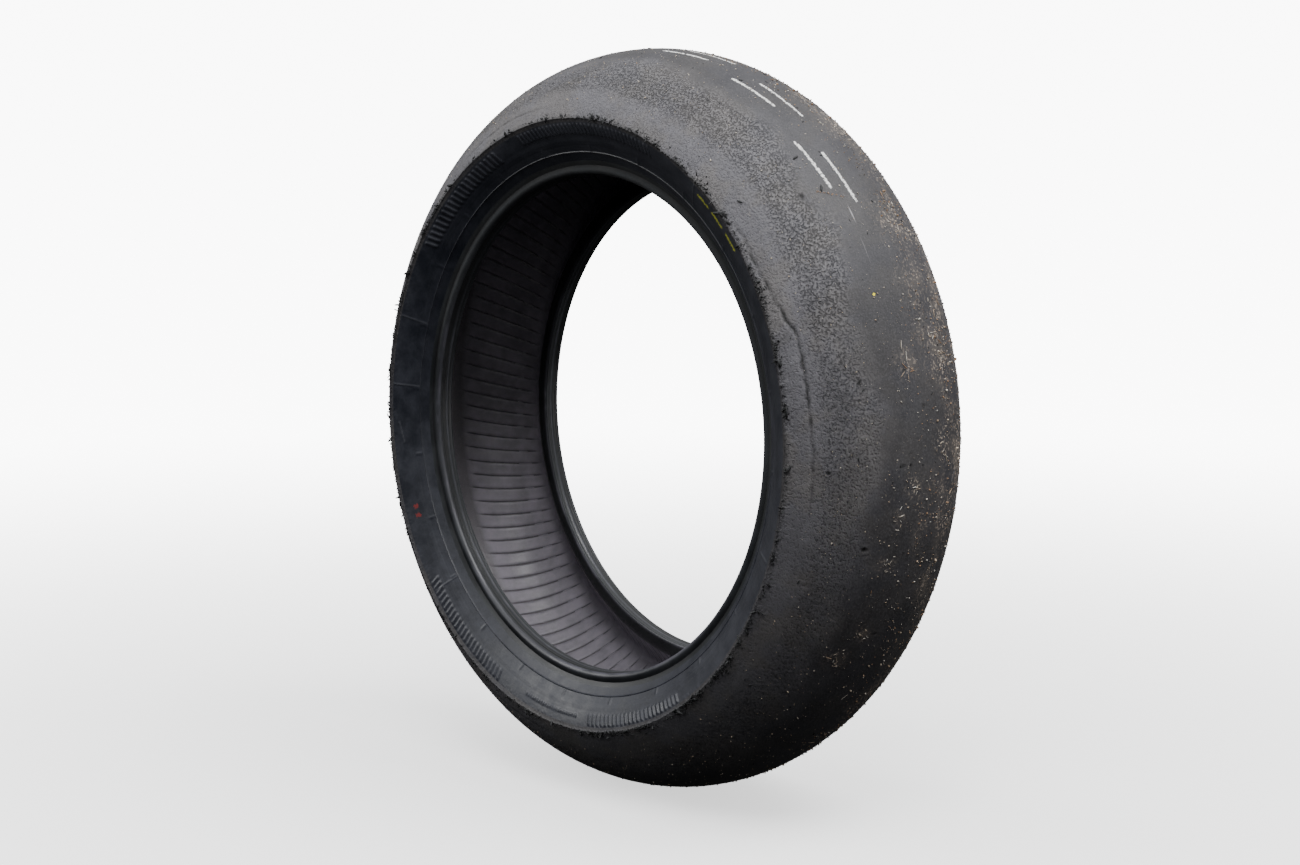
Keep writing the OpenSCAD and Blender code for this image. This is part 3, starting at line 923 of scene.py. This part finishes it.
def liner_relief(turn, line):
    """Fine slanting grooves of uneven length, with a low lip on both sides."""
    y = line[:, 1:] + 0 * turn
    share = np.tile(np.array(GROOVE_COLUMNS), LINER_GROOVES)[None] + 0 * turn
    cut = smooth(0.085, 0.02, np.abs(share))
    lip = np.exp(-((np.abs(share) - 0.11) / 0.03) ** 2)
    groove = np.floor((turn - y * GROOVE_LEAN) * LINER_GROOVES / 360 + 0.5)
    start = GROOVE_FROM + 1.5 * np.sin(groove * 2.4)
    length = smooth(start - 2, start + 4, np.abs(y)) * smooth(GROOVE_TO + 1, GROOVE_TO - 5, np.abs(y))
    height = length * (0.08 * lip - GROOVE_DEPTH * cut) + 0.12 * ring_noise(41, turn, y, 60, 40, 3)
    ends = end_fade(len(line), 2)
    # painted shade in each groove's cut
    return height * ends, 0 * y, {"hollow": length * cut, "band": smooth(31, 23, np.abs(y))}


liner_lines = split_outline("liner", bead_end, bead_end * [1, -1])
ring_piece("inner_liner_ribbed", LINER_NODES, "liner_rubber", *liner_lines, 4.4, liner_turns,
           liner_relief, liner_rubber, skip=4)

# ---------------------------------------------------------------- crumbs of rubber and grit

def blob(subdivisions):
    """Vertices and faces of a round bead of radius 1."""
    ball = bpy.data.meshes.new("blob")
    shape = bmesh.new()
    bmesh.ops.create_icosphere(shape, subdivisions=subdivisions, radius=1)
    shape.to_mesh(ball)
    shape.free()
    at = np.array([v.co for v in ball.vertices])
    faces = np.array([p.vertices for p in ball.polygons])
    bpy.data.meshes.remove(ball)
    return at, faces


def on_tread(turn, crown, out):
    """Places and outward directions on the tread's skin; out is how far above it."""
    points = np.array([crown_point(c, -o) for c, o in zip(crown, out)])
    a, lean = np.radians(turn), np.radians(crown)
    return round_axis(points, a), round_axis(np.stack([np.cos(lean), np.sin(lean)], -1), a)


def random_radii(rng, count, *ranges):
    """Three radii for each of count beads, each drawn from its own range."""
    return np.stack([rng.uniform(low, high, count) for low, high in ranges], -1)


def scatter(name, slot, look, places, sizes, seed, rough, subdivisions, tint, lying=None):
    """Beads of rubber or stone at the places, each with its own three radii, turned at random, or
    only about the outward directions in lying, so that their thinnest side is up."""
    rng = np.random.default_rng(seed)
    ball, faces = blob(subdivisions)
    count = len(places)
    spin = np.linalg.qr(rng.normal(size=(count, 3, 3)))[0]
    if lying is not None:
        first = np.cross(lying, rng.normal(size=(count, 3)))
        first /= np.linalg.norm(first, axis=1, keepdims=True)
        spin = np.stack([first, np.cross(lying, first), lying], -1)
    dents = 1 + rough * rng.normal(size=(count, len(ball)))
    shapes = ball[None] * dents[..., None] * sizes[:, None]
    at = np.einsum("nij,nvj->nvi", spin, shapes) + places[:, None]
    every = (faces[None] + np.arange(count)[:, None, None] * len(ball)).reshape(-1, 3)
    mesh = make_mesh(name, at.reshape(-1, 3), every, {"tint": np.repeat(tint, len(ball))})
    place(name, mesh, look, slot)


EDGE_TRIES, EDGE_CRUMBS = 9000, 2400        # places tried, and the most crumbs kept, on one edge
TREAD_CRUMBS = 420
GRIT_TRIES = 90000
GRIT_MOST = 9400                    # grains, so that the piece stays under 200,000 faces
GRIT_TRAIL = ((39, -27), (37, -15))         # a thin trail of grit on the near side: (turn, crown)
TRAIL_GRAINS = 34
STRAWS = 150
STRAW_TRIES = 8 * STRAWS
PATCH_STRAWS = 7                    # more in each patch of dust


def edge_crumbs(side, name):
    """Pills of worn rubber that hang along the tread's edge, thick in some stretches."""
    rng = np.random.default_rng(60 + side)
    turn = rng.uniform(-180, 180, EDGE_TRIES)
    dense = ring_noise(61 + side, turn[None], 0, 28, 10, 3)[0]
    likely = np.clip(0.2 + 0.6 * dense, 0.05, 1) * (1 - 0.8 * calm_at(turn))
    turn = turn[rng.random(EDGE_TRIES) < likely][:EDGE_CRUMBS]
    count = len(turn)
    crown = EDGE_AT - np.abs(rng.normal(0, 0.9, count)) + rng.uniform(0, 0.5, count)
    size = 0.32 + rng.gamma(2.0, 0.20, count)
    at, _ = on_tread(turn, side * crown, size * rng.uniform(-0.1, 0.7, count))
    radii = size[:, None] * random_radii(rng, count, (1.0, 2.8), (0.4, 0.8), (0.3, 0.6))
    scatter("edge_crumbs_" + name, "tread_shoulder_rubber", crumb_rubber, at, radii, 70 + side, 0.12, 2,
            rng.random(count) ** 4)


def tread_crumbs():
    """Crumbs of rubber lying all over the tread."""
    rng = np.random.default_rng(80)
    turn, crown = rng.uniform(-180, 180, TREAD_CRUMBS), rng.uniform(-56, 56, TREAD_CRUMBS)
    size = 0.25 + rng.gamma(2.0, 0.13, TREAD_CRUMBS)
    at, outward = on_tread(turn, crown, size * 0.3)
    radii = size[:, None] * random_radii(rng, TREAD_CRUMBS, (1.1, 2.4), (0.4, 0.8), (0.35, 0.6))
    scatter("tread_crumbs", "tread_centre_rubber", crumb_rubber, at, radii, 81, 0.12, 2,
            rng.random(TREAD_CRUMBS) ** 3 * 0.5, outward)


def road_grit():
    """Grains of grit, thickest in clouds towards +Y, and a trail of them on the near side."""
    rng = np.random.default_rng(90)
    turn, crown = rng.uniform(-180, 180, GRIT_TRIES), rng.uniform(-54, 54, GRIT_TRIES)
    thick = ring_noise(91, turn[None], across_of(crown)[None], 34, 26, 4)[0]
    likely = 0.06 + 0.22 * smooth(-30, 12, crown) * np.clip(0.22 + 1.7 * thick, 0, 1.4)
    keep = np.nonzero(rng.random(GRIT_TRIES) < likely)[0][:GRIT_MOST]
    along = rng.random(TRAIL_GRAINS)
    trail = np.array(GRIT_TRAIL)[0] + along[:, None] * np.diff(GRIT_TRAIL, axis=0)
    trail += rng.normal(0, (0.08, 0.35), trail.shape)
    turn, crown = np.append(turn[keep], trail[:, 0]), np.append(crown[keep], trail[:, 1])
    count = len(turn)
    size = np.clip(rng.lognormal(-1.0, 0.45, count), 0.2, 1.2)
    tint = rng.random(count) ** 0.75
    near = smooth(4, -12, crown)                # the near shoulder has only fine pale grains
    size *= 1 - 0.35 * near
    tint += (0.88 - tint) * 0.8 * near
    size[-TRAIL_GRAINS:] = np.clip(size[-TRAIL_GRAINS:], 0.3, 0.6)
    tint[-TRAIL_GRAINS:] = 0.62
    at, _ = on_tread(turn, crown, size * 0.4)
    radii = size[:, None] * random_radii(rng, count, (0.9, 1.7), (0.7, 1.1), (0.5, 0.9))
    scatter("road_grit", "tread_centre_rubber", grit_stone, at, radii, 92, 0.14, 1, tint)


def straw_bits():
    """Bits of dry straw, most of them towards +Y and the rest in the patches of dust."""
    rng = np.random.default_rng(95)
    turn, crown = rng.uniform(-180, 180, STRAW_TRIES), rng.uniform(-50, 52, STRAW_TRIES)
    keep = rng.random(STRAW_TRIES) < 0.03 + 0.2 * smooth(0, 30, crown)
    turn, crown = turn[keep][:STRAWS], crown[keep][:STRAWS]
    for at, at_crown, half, _ in DUST_PATCHES:
        turn = np.append(turn, at + rng.normal(0, 0.12 * half, PATCH_STRAWS))
        crown = np.append(crown, at_crown + rng.normal(0, 0.2 * half, PATCH_STRAWS))
    count = len(turn)
    at, outward = on_tread(turn, crown, np.full(count, 0.25))
    spread_out = np.arange(count) < STRAWS
    length = np.where(spread_out, 1, 0.55) * rng.uniform(1.4, 4.2, count)
    radii = np.stack([length, rng.uniform(0.18, 0.30, count), rng.uniform(0.15, 0.25, count)], -1)
    tint = np.where(spread_out, rng.uniform(0.55, 0.95, count), rng.uniform(0.75, 1.0, count))
    scatter("straw_bits", "tread_centre_rubber", grit_stone, at, radii, 96, 0.10, 2, tint, outward)


both_sides(edge_crumbs)
tread_crumbs()
road_grit()
straw_bits()

# ---------------------------------------------------------------- studio

FLOOR_REACH = 9000
WALL_START = 6000                   # the floor curls up from here
WALL_TOP = 9000
BACKDROP_COLUMNS = 96
# A camera where the photograph was taken from
CAMERA_DISTANCE = 1776.2
CAMERA_YAW = 48.07                  # how far round from facing the near wall
CAMERA_PITCH = 5.83                 # looking down
AIM_RIGHT, AIM_UP = 1.47, -11.13    # where it aims, beside the tyre's centre
LENS, SENSOR = 55.18, 36


def backdrop_mesh():
    """A round floor that curls up to a wall on every side."""
    bend = FLOOR_REACH - WALL_START
    profile = [(r, 0) for r in np.linspace(400, WALL_START, 12)]
    profile += [(WALL_START + bend * math.sin(a), bend * (1 - math.cos(a)))
                for a in np.radians(np.linspace(5, 90, 18))]
    profile.append((FLOOR_REACH, WALL_TOP))
    a = np.arange(BACKDROP_COLUMNS) * 2 * math.pi / BACKDROP_COLUMNS
    r, z = np.array(profile).T[..., None]
    at = np.stack([r * np.cos(a), r * np.sin(a), z - OUTER_R + 0 * a], -1)
    index = np.arange(r.size * a.size).reshape(r.size, a.size)
    quads = np.stack([index[:-1], index[1:], np.roll(index[1:], -1, 1), np.roll(index[:-1], -1, 1)], -1)
    mesh = bpy.data.meshes.new("backdrop")
    mesh.from_pydata((at.reshape(-1, 3) * MM).tolist(), [],
                     [index[0].tolist(), *quads.reshape(-1, 4).tolist()])
    mesh.flip_normals()
    mesh.polygons.foreach_set("use_smooth", np.ones(len(mesh.polygons), bool))
    return mesh


def backdrop():
    """White paper that glows, more so far from the tyre. It is only looked at: it throws no light back."""
    paper = bpy.data.materials.new("white_backdrop")
    paper.use_nodes = True
    paper.node_tree.nodes.clear()
    n = Nodes(paper.node_tree)
    away = n.add("VectorMath", {0: n.place()}, operation="LENGTH").outputs["Value"]
    white = n.add("BsdfDiffuse", {"Color": n.mix(n.noise(3, 2), grey(0.78), grey(0.8))}).outputs[0]
    glow = n.add("Emission", {"Color": grey(1), "Strength": n.span(away, 0.3, 3.5, 1.2, 9.0)}).outputs[0]
    n.add("OutputMaterial", {"Surface": n.add("AddShader", {0: white, 1: glow}).outputs[0]})
    mesh = backdrop_mesh()
    mesh.materials.append(paper)
    floor = bpy.data.objects.new("backdrop", mesh)
    bpy.context.scene.collection.objects.link(floor)
    floor.visible_diffuse = floor.visible_glossy = floor.visible_shadow = False


def overcast():
    """A sky that is brightest overhead and almost black below."""
    world = bpy.data.worlds.new("overcast")
    world.use_nodes = True
    bpy.context.scene.world = world
    world.node_tree.nodes.clear()
    n = Nodes(world.node_tree)
    height = n.add("SeparateXYZ", {0: n.add("TexCoord").outputs["Generated"]}).outputs["Z"]
    sky = n.math("POWER", n.math("MAXIMUM", height, 0.0), 1.2)
    strength = n.math("ADD", n.times(sky, 1.4), 0.02)
    background = n.add("Background", {"Color": (0.97, 0.985, 1, 1), "Strength": strength})
    n.add("OutputWorld", {"Surface": background.outputs[0]})


def softbox(name, at, size, watts):
    """A round soft light that faces the tyre."""
    lamp = bpy.data.lights.new(name, "AREA")
    lamp.shape, lamp.size, lamp.energy = "DISK", size, watts
    light = bpy.data.objects.new(name, lamp)
    light.location = at
    light.rotation_euler = Vector(at).to_track_quat("Z", "Y").to_euler()
    bpy.context.scene.collection.objects.link(light)


def photo_camera():
    yaw, pitch = math.radians(CAMERA_YAW), math.radians(CAMERA_PITCH)
    back = Vector((math.sin(yaw) * math.cos(pitch), -math.cos(yaw) * math.cos(pitch), math.sin(pitch)))
    right = (-back).cross(Vector((0, 0, 1))).normalized()
    up = right.cross(-back)
    lens = bpy.data.cameras.new("camera")
    lens.lens, lens.sensor_width, lens.sensor_fit = LENS, SENSOR, "HORIZONTAL"
    lens.clip_start, lens.clip_end = 0.05, 60
    camera = bpy.data.objects.new("camera", lens)
    camera.matrix_world = Matrix((right, up, back)).transposed().to_4x4()
    camera.location = (back * CAMERA_DISTANCE + right * AIM_RIGHT + up * AIM_UP) * MM
    bpy.context.scene.collection.objects.link(camera)
    bpy.context.scene.camera = camera


backdrop()
overcast()
softbox("key", (1.3, -0.95, 2.65), 1.7, 43)
softbox("key_far_side", (1.5, 0.6, 2.5), 1.5, 60)
softbox("fill", (-2.1, -1.8, 1.5), 1.6, 37)
softbox("rim", (2.6, 1.6, 0.1), 1.6, 10)
softbox("front_low", (2.3, -1.5, 0.9), 1.6, 3.6)
softbox("front_high", (1.5, -1.8, 2.8), 1.4, 30)
photo_camera()
